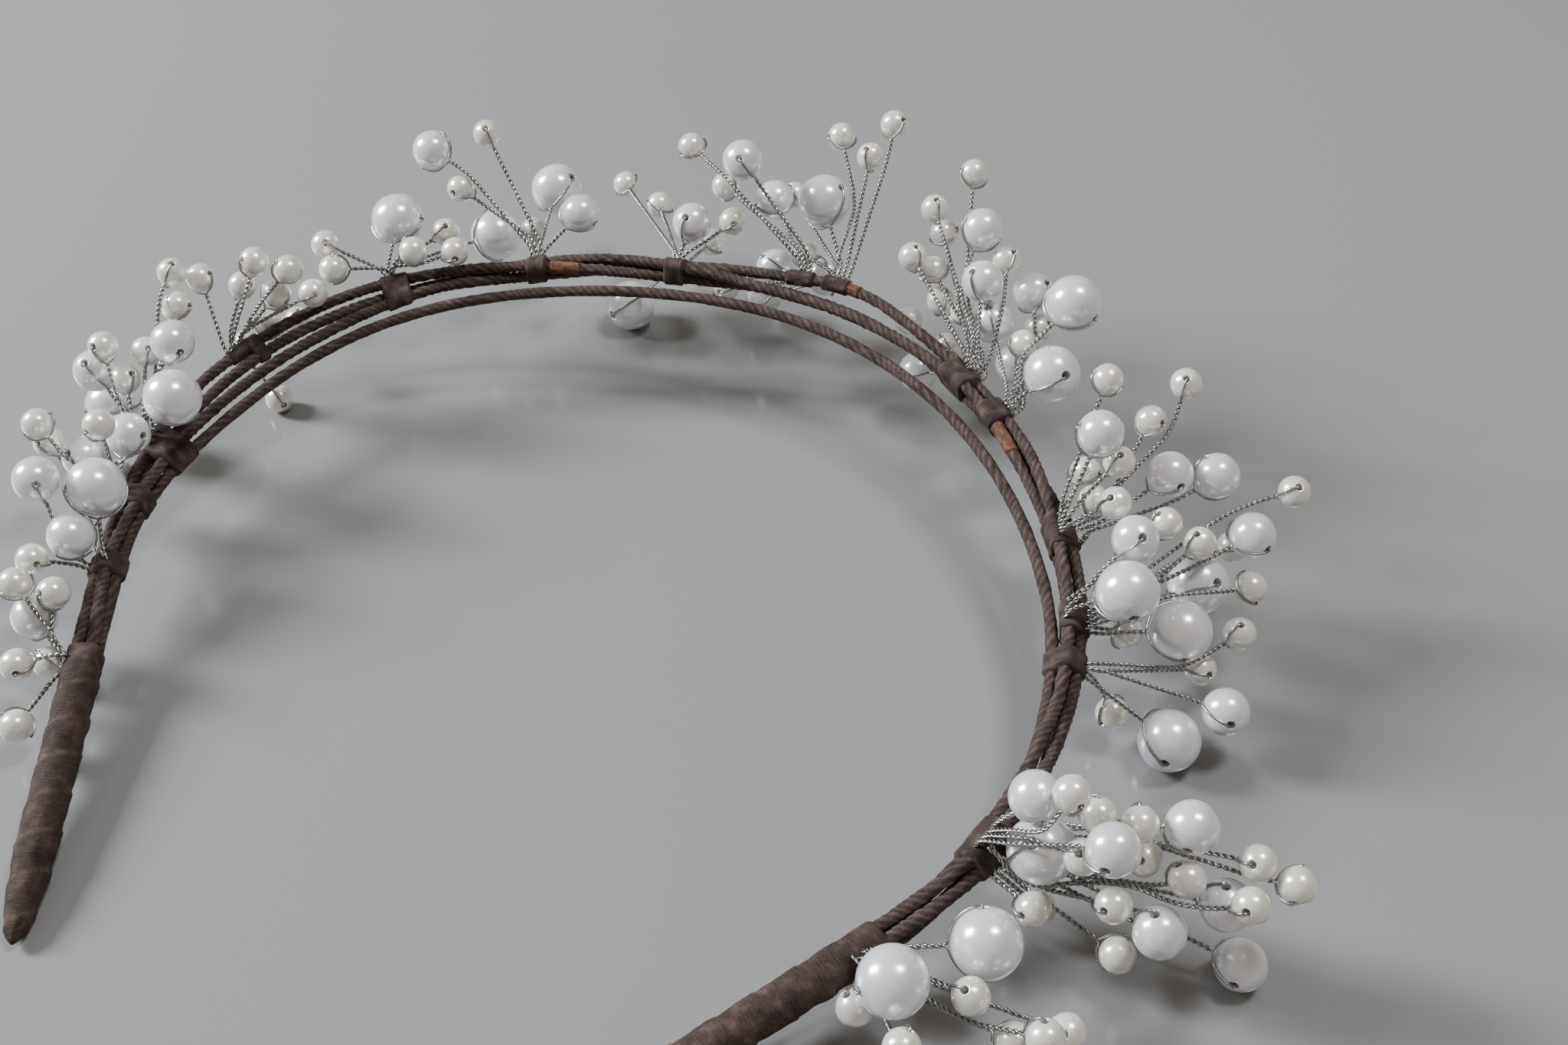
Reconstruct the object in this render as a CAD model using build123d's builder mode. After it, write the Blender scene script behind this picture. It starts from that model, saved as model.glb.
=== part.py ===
from build123d import *
import math
import os

import numpy as np

os.makedirs("parts", exist_ok=True)

# Bridal tiara: a U-shaped headband of four paper-wrapped florist's wires, with sprays of
# imitation pearls on twisted craft wire. Millimetres. The band lies nearly flat: +Z is up from
# the table it rests on, +Y points to the crown, the two ends point to -Y. The origin is on the
# table, in the middle of the opening for the head.

# ---- driving dimensions -------------------------------------------------------------------
CROWN = (-1.0, 55.0)           # the band's middle, above the forehead
CROWN_TURN = 5.0               # degrees the handmade curve leans to the right at the crown
LEFT_ARCS = [(86, 27), (47, 83)]      # radius and degrees of turn, from the crown outwards
RIGHT_ARCS = [(58, 94), (45, 36)]
LEFT_LEG, RIGHT_LEG = 52.0, 38.0      # straight runs to the two ends
TIP_Z, CROWN_Z = 1.33, 18.5    # height of the band's line at its ends and at the crown

STRAND_D = 1.6                 # a wire with its paper wrap
CORE_D = 0.9                   # the wire alone
CORE_PLAY = 0.02               # paper to wire
END_WRAP = 36.0                # length of band that each end wrap covers
END_WRAP_D = 4.7
PEARL_D = {"small": 4.0, "medium": 5.7, "large": 7.5}
BORE_D = {"small": 0.8, "medium": 1.0, "large": 1.2}
BORE_RIM = 0.15                # rounding where the bore breaks out of the pearl
THREAD_D = 0.3                 # one craft wire, as threaded through a pearl
TWIG_D = 0.64                  # two craft wires twisted together
BINDING_D = 0.4                # the spray's wire where it binds the band
FLAT_CORNER = 0.02             # a strand this little outside an outline makes no corner in it
BINDING_PITCH = 0.46
FIT = 0.05                     # binding to paper
THREAD_FIT = 0.03              # thread to pearl
PEARL_GAP = 0.45               # least gap round a pearl, for the thread that goes round it
BINDING_GAP = 2.0              # and between a pearl and a strand where a spray is bound on
WIRE_GAP = 0.08                # least gap between two twigs, or a twig and anything else

# Where each of the four strands runs around the band's line, as (out, up) in millimetres at
# each station. Stations are distances along the line from the crown, negative to the left.
# The first strand keeps to the inside; the other three wind about each other, and fan out
# above the left temple.
STATIONS = {
    -122: ((-.88, -.88), (-.88, .88), (.88, -.88), (.88, .88)),
    -110: ((-1.32, 0), (0, 1.32), (0, -1.32), (1.32, 0)),
    -101: ((-.93, -.93), (-.93, .93), (.93, -.93), (.93, .93)),
    -91: ((-1.9, -1.2), (-1.0, .4), (.8, -.6), (1.7, .9)),
    -80: ((-3.3, -1.3), (-1.2, -.3), (1.0, 0), (3.1, .9)),
    -68: ((-3.4, -1.4), (-1.2, -.6), (.9, .3), (2.9, 1.0)),
    -56: ((-3.3, -1.4), (-1.3, -.2), (.9, -.2), (2.4, 1.3)),
    -44: ((-3.3, -1.3), (-.6, .3), (1.2, -.8), (1.2, 1.3)),
    -32: ((-3.3, -1.2), (0, -.8), (1.8, .3), (0, 1.3)),
    -20: ((-3.3, -1.2), (1.2, -.8), (1.2, 1.3), (-.6, .3)),
    -8: ((-3.3, -1.2), (1.8, .3), (0, 1.3), (0, -.8)),
    4: ((-3.4, -1.2), (1.5, 1.4), (-.6, .3), (1.2, -.8)),
    16: ((-3.5, -1.2), (3.5, 2.2), (-.3, .5), (1.3, -.6)),
    28: ((-3.5, -1.2), (2.0, 1.4), (-.3, .8), (1.2, -.7)),
    40: ((-3.4, -1.2), (1.8, .3), (0, 1.3), (0, -.8)),
    52: ((-3.3, -1.2), (1.2, 1.3), (-.6, .3), (1.2, -.8)),
    64: ((-2.9, -1.0), (0, 1.3), (0, -.8), (1.8, .3)),
    76: ((-2.0, -.6), (0, 1.1), (.4, -1.0), (1.7, .4)),
    88: ((-1.32, 0), (0, 1.32), (0, -1.32), (1.32, 0)),
    100: ((-.95, -.95), (-.95, .95), (.95, -.95), (.95, .95)),
    112: ((0, -1.34), (-1.34, 0), (1.34, 0), (0, 1.34)),
    123: ((.88, -.88), (-.88, -.88), (.88, .88), (-.88, .88)),
}

# Each spray: the station where its wires bind the band, then its groups of twigs. A pearl is
# (along the band, out from it, up from it, size), from the spray's station, in millimetres.
# A pearl whose height is TABLE is one that the tiara rests on.
TABLE = None
S, M, L = "small", "medium", "large"
SPRAYS = [
    (-124, [[(7, 8, 7, S), (5, 3, 7, S), (6, 7, 2, M)],
            [(-2, 7, 2, S), (2, 5, -2, S), (-9, 6, -1, S)]]),
    (-110, [[(-3, 7, 5, S), (5, 7, 11, M)],
            [(0, 3, 5, M), (7, 1, 7, L), (17, 2, 1, S)]]),
    (-99, [[(3, 12, 9, S), (5, 13, 4, S)],
           [(0, 1, 13, S), (5, 1, 7, M), (3, 7, 4, M)]]),
    (-90, [[(20, 9, 13, S), (17, 7, 10, S)],
           [(4, 9, 12, S), (7, 5, 10, S), (7, 0, 13, M), (5, 13, 6, M), (4, 7, 7, S)],
           [(7, 14, -2, L), (2, -2, 8, L)]]),
    (-72, [[(1, 12, 8, S), (3, 7, -2, S)],
           [(5, 3, 13, S), (4, 6, 8, S), (6, 1, 8, S), (7, -2, 13, S)],
           [(11, 0, 6, S), (6, 5, 1, S), (11, 6, -2, S), (4, 4, TABLE, S)]]),
    (-50, [[(-8, 7, 6, S), (-8, 2, 5, S)],
           [(3, 11, 5, L), (3, 1, 5, S)],
           [(9, 7, 4, S), (9, 0, 5, S), (17, 11, -1, L)]]),
    (-30, [[(-15, 15, 11, M), (-11, 11, 7, S), (-7, 16, 13, S)],
           [(2, 18, 2, L), (6, 10, 3, M), (-2, 16, -4, S)]]),
    (-10, [[(-15, 28, -5, S), (-8, 22, -4, S)],
           [(1, 7, 4, M), (7, 7, 5, S), (2, 14, -4, S)],
           [(-10, 10, TABLE, L)]]),
    (8, [[(-24, 15, 9, S), (-12, 8, 14, M), (-17, 12, 6, S)],
         [(-11, 16, 3, M), (-9, 12, -6, M)],
         [(-19, 8, -10, S), (-14, 6, -7, S)]]),
    (13, [[(-17, 20, 1, S), (-8, 13, 7, L)],
          [(-12, 25, 10, S), (-5, 21, 11, S), (-4, 26, 14, S)],
          [(-9, 9, 0, S), (-7, 12, -5, M), (-18, 13, -13, M)]]),
    (36, [[(-22, 21, 13, S), (-23, 15, 9, S), (-23, 17, 4, S), (-13, 15, 11, M)],
          [(-18, 7, 7, S), (-17, 10, 4, S), (-18, 7, -4, S), (-15, 10, 0, S), (-10, 10, 1, S)],
          [(-7, 10, 8, M), (-9, 16, 8, S)],
          [(-13, 5, -9, M), (-12, 9, -6, S)]]),
    (44, [[(-16, 17, 4, M), (-6, 16, 9, L)],
          [(-14, 9, 3, M), (-14, 17, -1, S), (-8, 10, 3, S), (-13, 13, -5, M)],
          [(0, 9, 4, L)]]),
    (65, [[(-15, 9, 12, S), (-14, 19, 11, S), (-11, 14, 8, S), (-4, 5, 13, M)],
          [(-4, 8, 8, S), (-7, 5, 4, S), (-2, 4, 3, S), (2, 6, 7, S)],
          [(-2, 14, 7, M), (-2, 20, 6, M)]]),
    (78, [[(-18, 27, 7, S), (-13, 22, 4, M), (-11, 11, 7, S)],
          [(-7, 7, 8, M), (0, 6, 6, L), (-1, 7, -2, S)],
          [(-9, 16, -1, L), (0, 13, 0, L), (-9, 15, 6, S), (-17, 21, -2, S), (-8, 22, 0, S)]]),
    (84, [[(-11, 20, -2, S), (-8, 16, -6, S)],
          [(0, 6, -7, S), (2, 13, TABLE, L), (-1, 19, -5, M)]]),
    (110, [[(-1, 4, 12, M), (-1, 5, 4, L), (-1, 8, 16, S), (-4, 10, 11, S)],
           [(0, 11, 9, S), (0, 14, 13, M), (-5, 14, 12, S), (-6, 15, 6, S)],
           [(-9, 18, 11, M), (-6, 20, 7, S), (-11, 25, 9, S), (-12, 29, 8, S)],
           [(-8, 24, 4, M), (-6, 27, 9, S), (-9, 27, TABLE, M), (-2, 20, 2, M), (-1, 15, 3, S),
            (0, 17, -3, S)],
           [(0, 7, -4, S), (3, 8, 0, S)]]),
    (129, [[(-10, 9, 6, L), (-5, 13, 6, S)],
           [(1, 8, 7, L), (4, 14, 6, S), (4, 6, 2, S)],
           [(-7, 18, 3, S), (-8, 21, 7, S), (-12, 20, 3, S)]]),
]

# ---- the band's line ----------------------------------------------------------------------
UP = Vector(0, 0, 1)


def plan_line(arcs, leg, side):
    """Pieces of one half of the line, from the crown outwards: length, start, heading, radius."""
    pieces, place = [], Vector(*CROWN)
    heading = math.radians(CROWN_TURN) + (0 if side > 0 else math.pi)
    for radius, turn in arcs:
        pieces.append((radius * math.radians(turn), place, heading, radius))
        centre = place + Vector(side * math.sin(heading), -side * math.cos(heading)) * radius
        heading -= side * math.radians(turn)
        place = centre + Vector(-side * math.sin(heading), side * math.cos(heading)) * radius
    pieces.append((leg, place, heading, None))
    return pieces


HALVES = {-1: plan_line(LEFT_ARCS, LEFT_LEG, -1), 1: plan_line(RIGHT_ARCS, RIGHT_LEG, 1)}
LEFT_END = -sum(piece[0] for piece in HALVES[-1])
RIGHT_END = sum(piece[0] for piece in HALVES[1])


def plan_point(station):
    """Point and direction along the band, in plan, at a station."""
    side = 1 if station >= 0 else -1
    rest = abs(station)
    for length, place, heading, radius in HALVES[side]:
        if rest <= length + 1e-6 or radius is None:
            break
        rest -= length
    if radius is None:
        point = place + Vector(math.cos(heading), math.sin(heading)) * rest
    else:
        centre = place + Vector(side * math.sin(heading), -side * math.cos(heading)) * radius
        heading -= side * rest / radius
        point = centre + Vector(-side * math.sin(heading), side * math.cos(heading)) * radius
    return point, Vector(math.cos(heading), math.sin(heading)) * side


TIP_Y = plan_point(LEFT_END)[0].Y
SLOPE = (CROWN_Z - TIP_Z) / (CROWN[1] - TIP_Y)


def band_at(station):
    """Point of the band's line, direction along it, and direction out from the head."""
    point, along = plan_point(station)
    out = Vector(-along.Y, along.X, 0)
    return Vector(point.X, point.Y, TIP_Z + SLOPE * (point.Y - TIP_Y)), along, out


def beside_band(station, out, up):
    point, _, outward = band_at(station)
    return point + outward * out + UP * up


# ---- bent wire ----------------------------------------------------------------------------
def bend_radii(points, largest):
    """The largest bend that fits at each corner of a bent wire."""
    radii = []
    for before, corner, after in zip(points, points[1:], points[2:]):
        a, b = corner - before, after - corner
        turn = math.radians(max(a.get_angle(b), 0.05))
        radii.append(min(0.46 * min(a.length, b.length) / math.tan(turn / 2), largest))
    return radii


# ---- strands ------------------------------------------------------------------------------
def strand_points(number, stop_short):
    """Corners of one strand's path, with the straight runs inside the two end wraps."""
    offsets = [(s, STATIONS[s][number]) for s in sorted(STATIONS)]
    first, last = offsets[0][1], offsets[-1][1]
    ends = [(LEFT_END + stop_short, first)], [(RIGHT_END - stop_short, last)]
    return [beside_band(s, *at) for s, at in ends[0] + offsets + ends[1]]


STRAND_STOPS = [11.5, 13.0, 14.5, 12.0]     # the strands end at different depths in the wraps
strand_paths = []
for number, stop in enumerate(STRAND_STOPS):
    corners = strand_points(number, stop)
    with BuildLine() as strand_path:
        FilletPolyline(*corners, radius=bend_radii(corners, 300))
    path = strand_path.line
    strand_paths.append(path)

    with BuildPart() as strand_wrap:
        with BuildSketch(Plane(origin=path @ 0, z_dir=path % 0)):
            Circle(STRAND_D / 2)
            Circle(CORE_D / 2 + CORE_PLAY, mode=Mode.SUBTRACT)
        sweep(path=path)
    strand_wrap.part.label = f"strand_{number + 1}_wrap"
    export_step(strand_wrap.part, f"parts/strand_{number + 1}_wrap.step")

    with BuildPart() as strand_core:
        with BuildSketch(Plane(origin=path @ 0, z_dir=path % 0)):
            Circle(CORE_D / 2)
        sweep(path=path)
    strand_core.part.label = f"strand_{number + 1}_core"
    export_step(strand_core.part, f"parts/strand_{number + 1}_core.step")


def crossing(path, station):
    """Where a strand really passes the plane across the band at a station."""
    point, along, _ = band_at(station)
    for edge in path.edges():
        low, high = (edge @ 0 - point).dot(along), (edge @ 1 - point).dot(along)
        if low * high <= 0 and (edge @ 0 - point).length < 16:
            a, b = 0.0, 1.0
            for _ in range(30):
                middle = (a + b) / 2
                here = (edge @ middle - point).dot(along)
                a, b = (middle, b) if here * low > 0 else (a, middle)
            return edge @ a
    raise ValueError(f"no strand at {station}")


# ---- end wraps ----------------------------------------------------------------------------
# Tape wound over all four strands at each end of the band. Every turn laps the last, so the
# outside steps down a little towards the tip; the tip is closed and blunt.
TURN = 4.0                     # length of band covered by one turn of tape
LAP = 0.12                     # step at the edge of a turn
CAVITY_D = 2 * (math.hypot(*STATIONS[-122][0]) + STRAND_D / 2) + 0.08
CAVITY_DEPTH = END_WRAP - 11.0
TIP_TAPER = 12.0
TIP_R = 1.15


def wrap_profile():
    """Half section of an end wrap: (radius, distance from its mouth)."""
    outside = [(CAVITY_D / 2, 0)]
    turns = int(END_WRAP / TURN)
    for turn in range(turns):
        start, stop = turn * TURN, (turn + 1) * TURN
        for z, lap in ((start, LAP), (stop - 0.3, 0)):
            taper = max(0, z - (END_WRAP - TIP_TAPER)) / TIP_TAPER
            radius = END_WRAP_D / 2 - (END_WRAP_D / 2 - TIP_R) * taper ** 1.5
            outside.append((radius + lap, z))
    return outside + [(TIP_R * 0.8, END_WRAP), (0, END_WRAP + 0.3)]


for side, end in (("left", LEFT_END), ("right", RIGHT_END)):
    towards = -1 if end < 0 else 1
    mouth, tip = band_at(end - towards * END_WRAP)[0], band_at(end)[0]
    outward = band_at(end)[2]
    with BuildPart() as end_wrap:
        with BuildSketch(Plane(origin=mouth, x_dir=outward, z_dir=outward.cross(tip - mouth))):
            with BuildLine():
                outside = wrap_profile()
                Polyline(*outside)
                Polyline(outside[-1], (0, CAVITY_DEPTH), (CAVITY_D / 2, CAVITY_DEPTH), outside[0])
            make_face()
        revolve(axis=Axis(mouth, tip - mouth))
    end_wrap.part.label = f"end_wrap_{side}"
    export_step(end_wrap.part, f"parts/end_wrap_{side}.step")

# ---- tape ends ----------------------------------------------------------------------------
# Short laps where one length of tape ends on a strand and the next begins: a reddish skin
# on the upper side of the paper.
TAPE_LAPS = [(-28, 3), (12, 1), (46, 2)]     # station, strand
LAP_LENGTH, LAP_SKIN = 4.5, 0.1
with BuildPart() as tape_ends:
    for station, number in TAPE_LAPS:
        here = crossing(strand_paths[number], station)
        ahead = crossing(strand_paths[number], station + LAP_LENGTH)
        run = ahead - here
        side = run.cross(UP)
        with BuildSketch(Plane(origin=here, x_dir=side, z_dir=run)):
            Circle(STRAND_D / 2 + FIT + LAP_SKIN)
            Circle(STRAND_D / 2 + FIT, mode=Mode.SUBTRACT)
            with Locations((0, -STRAND_D * 0.78)):
                Rectangle(3 * STRAND_D, 2 * STRAND_D, mode=Mode.SUBTRACT)
        extrude(amount=run.length)
tape_ends.part.label = "tape_ends"
export_step(tape_ends.part, "parts/tape_ends.step")


# ---- binding ------------------------------------------------------------------------------
def bound_strands(station):
    """Strands the binding goes round: the outermost, and those that lie against it."""
    places = [crossing(path, station) for path in strand_paths]
    out = band_at(station)[2]
    left = sorted(places, key=lambda p: p.dot(out), reverse=True)
    bound = [left.pop(0)]
    while near := [p for p in left if min((p - q).length for q in bound) < STRAND_D + 0.55]:
        bound.append(near[0])
        left.remove(near[0])
    return bound


# ---- pearls' places -----------------------------------------------------------------------
def vec(point):
    return np.array([point.X, point.Y, point.Z])


class Pearl:
    """A pearl of a spray, and the bent twig that carries it."""

    def __init__(self, spray, station, group, along, out, up, size):
        self.spray, self.station, self.group, self.size = spray, station, group, size
        self.radius = PEARL_D[size] / 2
        self.on_table = up is TABLE
        point, forward, outward = band_at(station)
        place = point + forward * along + outward * out
        self.centre = np.array([place.X, place.Y, self.radius if self.on_table else point.Z + up])


pearls = [Pearl(index, station, number, *pearl)
          for index, (station, groups) in enumerate(SPRAYS)
          for number, group in enumerate(groups)
          for pearl in group]
centres = np.array([pearl.centre for pearl in pearls])
radii = np.array([pearl.radius for pearl in pearls])
strand_marks = np.array([vec(edge @ u) for path in strand_paths for edge in path.edges()
                         for u in np.linspace(0, 1, 8)])

binding_marks = np.array([vec(place) for station, _ in SPRAYS for at in (-2, -1, 0, 1, 2)
                          for place in bound_strands(station + at)])
marks = np.concatenate([strand_marks, binding_marks])
mark_gap = np.array([PEARL_GAP] * len(strand_marks) + [BINDING_GAP] * len(binding_marks))

# Pearls that would touch, or would crowd a strand or a binding, are eased apart.
for _ in range(300):
    apart = centres[:, None] - centres[None]
    gap = np.linalg.norm(apart, axis=2) + 1e-9
    short = np.clip(radii[:, None] + radii[None] + PEARL_GAP - gap, 0, None)
    np.fill_diagonal(short, 0)
    move = (apart / gap[..., None] * short[..., None]).sum(1) * 0.3
    off = centres[:, None] - marks[None]
    away = np.linalg.norm(off, axis=2)
    nearest = (away - mark_gap).argmin(1)
    rows = np.arange(len(pearls))
    short = np.clip(radii + STRAND_D / 2 + mark_gap[nearest] - away[rows, nearest], 0, None)
    move += off[rows, nearest] / away[rows, nearest][:, None] * short[:, None] * 0.6
    centres += move
    for row, pearl in enumerate(pearls):
        low = pearl.radius + (0 if pearl.on_table else 0.4)
        centres[row, 2] = low if pearl.on_table else max(centres[row, 2], low)


def outline(flats):
    """Corners, anticlockwise, of the tightest outline round the strands of one turn."""
    corners = [min(flats, key=lambda flat: flat.X)]
    while True:
        here = corners[-1]
        for flat in [flat for flat in flats if flat is not here]:
            way = (flat - here).normalized()
            if all(way.cross(other - here).Z > -FLAT_CORNER for other in flats):
                break
        else:
            return corners
        if flat is corners[0]:
            return corners
        corners.append(flat)


def binding_turn_at(station):
    """One closed turn of the binding wire, drawn tight round the bound strands."""
    point, along, out = band_at(station)
    across = Plane(origin=point, x_dir=out, z_dir=along)
    reach = STRAND_D / 2 + FIT + BINDING_D / 2
    flats = [across.to_local_coords(strand) for strand in bound_strands(station)]
    flats = [Vector(flat.X, flat.Y) for flat in flats]
    corners = [across.from_local_coords(flat) for flat in outline(flats)]
    if len(corners) == 1:
        runs = [out]
    else:
        runs = [after - here for here, after in zip(corners, corners[1:] + corners[:1])]
    with BuildPart() as binding_turn:
        for number, corner in enumerate(corners):
            before, run = runs[number - 1].normalized(), runs[number]
            bend = math.degrees(math.atan2(before.cross(run).dot(along), before.dot(run))) % 360
            if bend == 0:
                bend = 360
            with BuildSketch(Plane(origin=corner + before.cross(along) * reach, z_dir=before)):
                Circle(BINDING_D / 2)
            revolve(axis=Axis(corner, along), revolution_arc=bend)
            if len(corners) > 1:
                outward = run.normalized().cross(along)
                with BuildSketch(Plane(origin=corner + outward * reach, z_dir=run)):
                    Circle(BINDING_D / 2)
                extrude(amount=run.length)
    return binding_turn.part


def rows_of(count):
    return 1 if count < 4 else 2 if count < 11 else 3


def binding_feet(station, targets):
    """Where each twig of a spray leaves the binding, and which way it sets off."""
    point, along, out = (vec(v) for v in band_at(station))
    rise = [math.atan2(target[2] - point[2], (target - point) @ out) for target in targets]
    order = sorted(range(len(targets)), key=lambda n: rise[n])
    rows = rows_of(len(targets))
    per_row = math.ceil(len(targets) / rows)
    feet = [None] * len(targets)
    angle = -9.0
    for row in range(rows):
        members = order[row * per_row:(row + 1) * per_row]
        middle = sum(rise[n] for n in members) / len(members)
        angle = max(min(max(middle, -0.9), 1.9), angle + 0.85)
        members.sort(key=lambda n: (targets[n] - point) @ along)
        for column, n in enumerate(members):
            at = station + (column - (len(members) - 1) / 2) * FOOT_PITCH
            here, _, outward = band_at(at)
            lean = outward * math.cos(angle) + UP * math.sin(angle)
            outer = max(bound_strands(at), key=lambda p: p.dot(lean))
            reach = STRAND_D / 2 + FIT + BINDING_D + WIRE_GAP
            feet[n] = (vec(outer + lean * reach), vec(lean))
    return feet, per_row


# ---- twigs' paths -------------------------------------------------------------------------
# A chain of points from foot to pearl. The chains are drawn smooth, and pushed off the pearls,
# the strands and each other until nothing touches.
FREE = 6                       # points of a chain between its stub and its pearl
FOOT_PITCH = 0.74
STUB = 1.1
LEAST_RUN = 1.0                # of a twig, from one bend to the next
chains, turns_of = [], []
for index, (station, groups) in enumerate(SPRAYS):
    members = [n for n, pearl in enumerate(pearls) if pearl.spray == index]
    feet, per_row = binding_feet(station, [centres[n] for n in members])
    turns_of.append(max(4, math.ceil(per_row * FOOT_PITCH / BINDING_PITCH) + 1))
    root = vec(band_at(station)[0])
    for n, (foot, lean) in zip(members, feet):
        group = [m for m in members if pearls[m].group == pearls[n].group]
        fork = root + (centres[group].mean(0) - root) * 0.45
        stub = foot + lean * STUB
        chain = [foot, stub]
        for step in range(1, FREE + 1):
            u = step / (FREE + 1)
            by_fork = (1 - u) ** 2 * stub + 2 * u * (1 - u) * fork + u * u * centres[n]
            chain.append(by_fork)
        chains.append(chain + [centres[n]])
chains = np.array(chains)
twig_r = TWIG_D / 2


def spaced(points):
    """A chain without the points that crowd the ones before them, or its end."""
    kept = list(points[:2])
    for point in points[2:-1]:
        if min((point - kept[-1]).length, (point - points[-1]).length) > LEAST_RUN:
            kept.append(point)
    return kept + [points[-1]]


def closest(p, q, r, s):
    """Nearest points of segments p-q and r-s, for arrays of segments, as shares along each."""
    d1, d2, w = q - p, s - r, p - r
    a, e, f = (d1 * d1).sum(1), (d2 * d2).sum(1), (d2 * w).sum(1)
    b, c = (d1 * d2).sum(1), (d1 * w).sum(1)
    u = np.clip((b * f - c * e) / np.maximum(a * e - b * b, 1e-9), 0, 1)
    v = np.clip((b * u + f) / e, 0, 1)
    return np.clip((b * v - c) / a, 0, 1), v


def push(points, chain, segment, share, move):
    """Moves the two points of a segment, as far as they are free to go."""
    for offset, part in ((0, 1 - share), (1, share)):
        node = segment + offset
        free = (node >= 2) & (node <= FREE + 1)
        np.add.at(points, (chain[free], node[free]), (move * part[:, None])[free])


segments = FREE + 2
owner = np.repeat(np.arange(len(chains)), segments)
order = np.tile(np.arange(segments), len(chains))
for sweep_round in range(500):
    smooth = (chains[:, 1:-2] + chains[:, 3:]) / 2 - chains[:, 2:-1]
    strength = 0.25 if sweep_round < 250 else 0.03
    step = np.zeros_like(chains)
    step[:, 2:-1] += smooth * strength
    starts, stops = chains[owner, order], chains[owner, order + 1]
    if sweep_round % 10 == 0:
        middles, halves = (starts + stops) / 2, np.linalg.norm(stops - starts, axis=1) / 2
        span = np.linalg.norm(middles[:, None] - middles[None], axis=2)
        near = span < halves[:, None] + halves[None] + 2 * twig_r + 1.5
        near &= owner[:, None] < owner[None]
        one, two = np.nonzero(near)
        near = np.linalg.norm(middles[:, None] - centres[None], axis=2) \
            < halves[:, None] + radii[None] + 2.5
        wire, bead = np.nonzero(near)
        near = np.linalg.norm(middles[:, None] - strand_marks[None], axis=2) < halves[:, None] + 3
        lone, mark = np.nonzero(near)
    # twig against twig
    u, v = closest(starts[one], stops[one], starts[two], stops[two])
    here = starts[one] + (stops[one] - starts[one]) * u[:, None]
    there = starts[two] + (stops[two] - starts[two]) * v[:, None]
    apart = here - there
    gap = np.linalg.norm(apart, axis=1) + 1e-9
    short = np.clip(TWIG_D + WIRE_GAP - gap, 0, None)
    shove = apart / gap[:, None] * (short * 0.5)[:, None]
    push(step, owner[one], order[one], u, shove)
    push(step, owner[two], order[two], v, -shove)
    # twig against pearl; its own pearl only pushes the run before the last
    own = (owner[wire] == bead)
    for mine in (False, True):
        pick = (own == mine) & ((order[wire] < segments - 1) | (not mine))
        w, b = wire[pick], bead[pick]
        run = stops[w] - starts[w]
        u = np.clip(((centres[b] - starts[w]) * run).sum(1) / (run * run).sum(1), 0, 1)
        apart = starts[w] + run * u[:, None] - centres[b]
        gap = np.linalg.norm(apart, axis=1) + 1e-9
        need = radii[b] + twig_r + (1.0 if mine else PEARL_GAP)
        shove = apart / gap[:, None] * (np.clip(need - gap, 0, None) * 0.5)[:, None]
        push(step, owner[w], order[w], u, shove)
    # twig against strand
    run = stops[lone] - starts[lone]
    u = np.clip(((strand_marks[mark] - starts[lone]) * run).sum(1) / (run * run).sum(1), 0, 1)
    apart = starts[lone] + run * u[:, None] - strand_marks[mark]
    gap = np.linalg.norm(apart, axis=1) + 1e-9
    short = np.clip(STRAND_D / 2 + twig_r + 2 * WIRE_GAP - gap, 0, None)
    push(step, owner[lone], order[lone], u, apart / gap[:, None] * (short * 0.2)[:, None])
    chains += np.clip(step, -0.4, 0.4)
    chains[:, 2:-1, 2] = np.maximum(chains[:, 2:-1, 2], twig_r + 0.05)

# ---- sprays -------------------------------------------------------------------------------
BORE_TURN = 1.1                # radians from one pearl's bore to the next
THREAD_OVERLAP = 7             # degrees the thread's loop runs past each mouth of the bore
TWIG_SINK = 0.06               # how far a twig's end runs on into the thread's loop
threaded = {}
for index, (station, groups) in enumerate(SPRAYS):
    region = "left" if station < -60 else "crown" if station < 50 else "right"
    pieces = []
    for turn in range(turns_of[index]):
        offset = (turn - (turns_of[index] - 1) / 2) * BINDING_PITCH
        pieces.append(binding_turn_at(station + offset))
    for number, pearl in enumerate(pearls):
        if pearl.spray != index:
            continue
        corners = [Vector(*point) for point in chains[number]]
        centre = corners[-1]
        last = (centre - corners[-2]).normalized()
        reach = pearl.radius + THREAD_FIT + THREAD_D / 2
        corners = spaced(corners[:-1] + [centre - last * (reach - TWIG_SINK)])
        side = last.cross(UP).normalized()
        turned = 0 if pearl.on_table else math.degrees(BORE_TURN * number)
        bore = side.rotate(Axis((0, 0, 0), last), turned)
        across = bore.cross(last)
        first = (-bore).rotate(Axis((0, 0, 0), across), -THREAD_OVERLAP)
        with BuildPart() as twig:
            with BuildLine() as twig_path:
                FilletPolyline(*corners, radius=bend_radii(corners, 30))
            run = twig_path.line
            with BuildSketch(Plane(origin=run @ 0, z_dir=run % 0)):
                Circle(TWIG_D / 2)
            sweep(path=run)
            # thread: round the pearl and back through its bore, where it is a hair thinner
            # so that it ends inside the loop
            with BuildSketch(Plane(origin=centre + first * reach, z_dir=across.cross(first))):
                Circle(THREAD_D / 2)
            revolve(axis=Axis(centre, across), revolution_arc=180 + 2 * THREAD_OVERLAP)
            with BuildSketch(Plane(origin=centre - bore * reach, z_dir=bore)):
                Circle(THREAD_D / 2 - 0.01)
            extrude(amount=2 * reach)
        pieces.append(twig.part)
        threaded.setdefault((pearl.size, region), []).append(
            Plane(origin=centre, z_dir=bore).location)
    with BuildPart() as spray_wire:
        add(pieces)
    spray_wire.part.label = f"spray_{index + 1:02d}_wire"
    export_step(spray_wire.part, f"parts/spray_{index + 1:02d}_wire.step")

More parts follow.
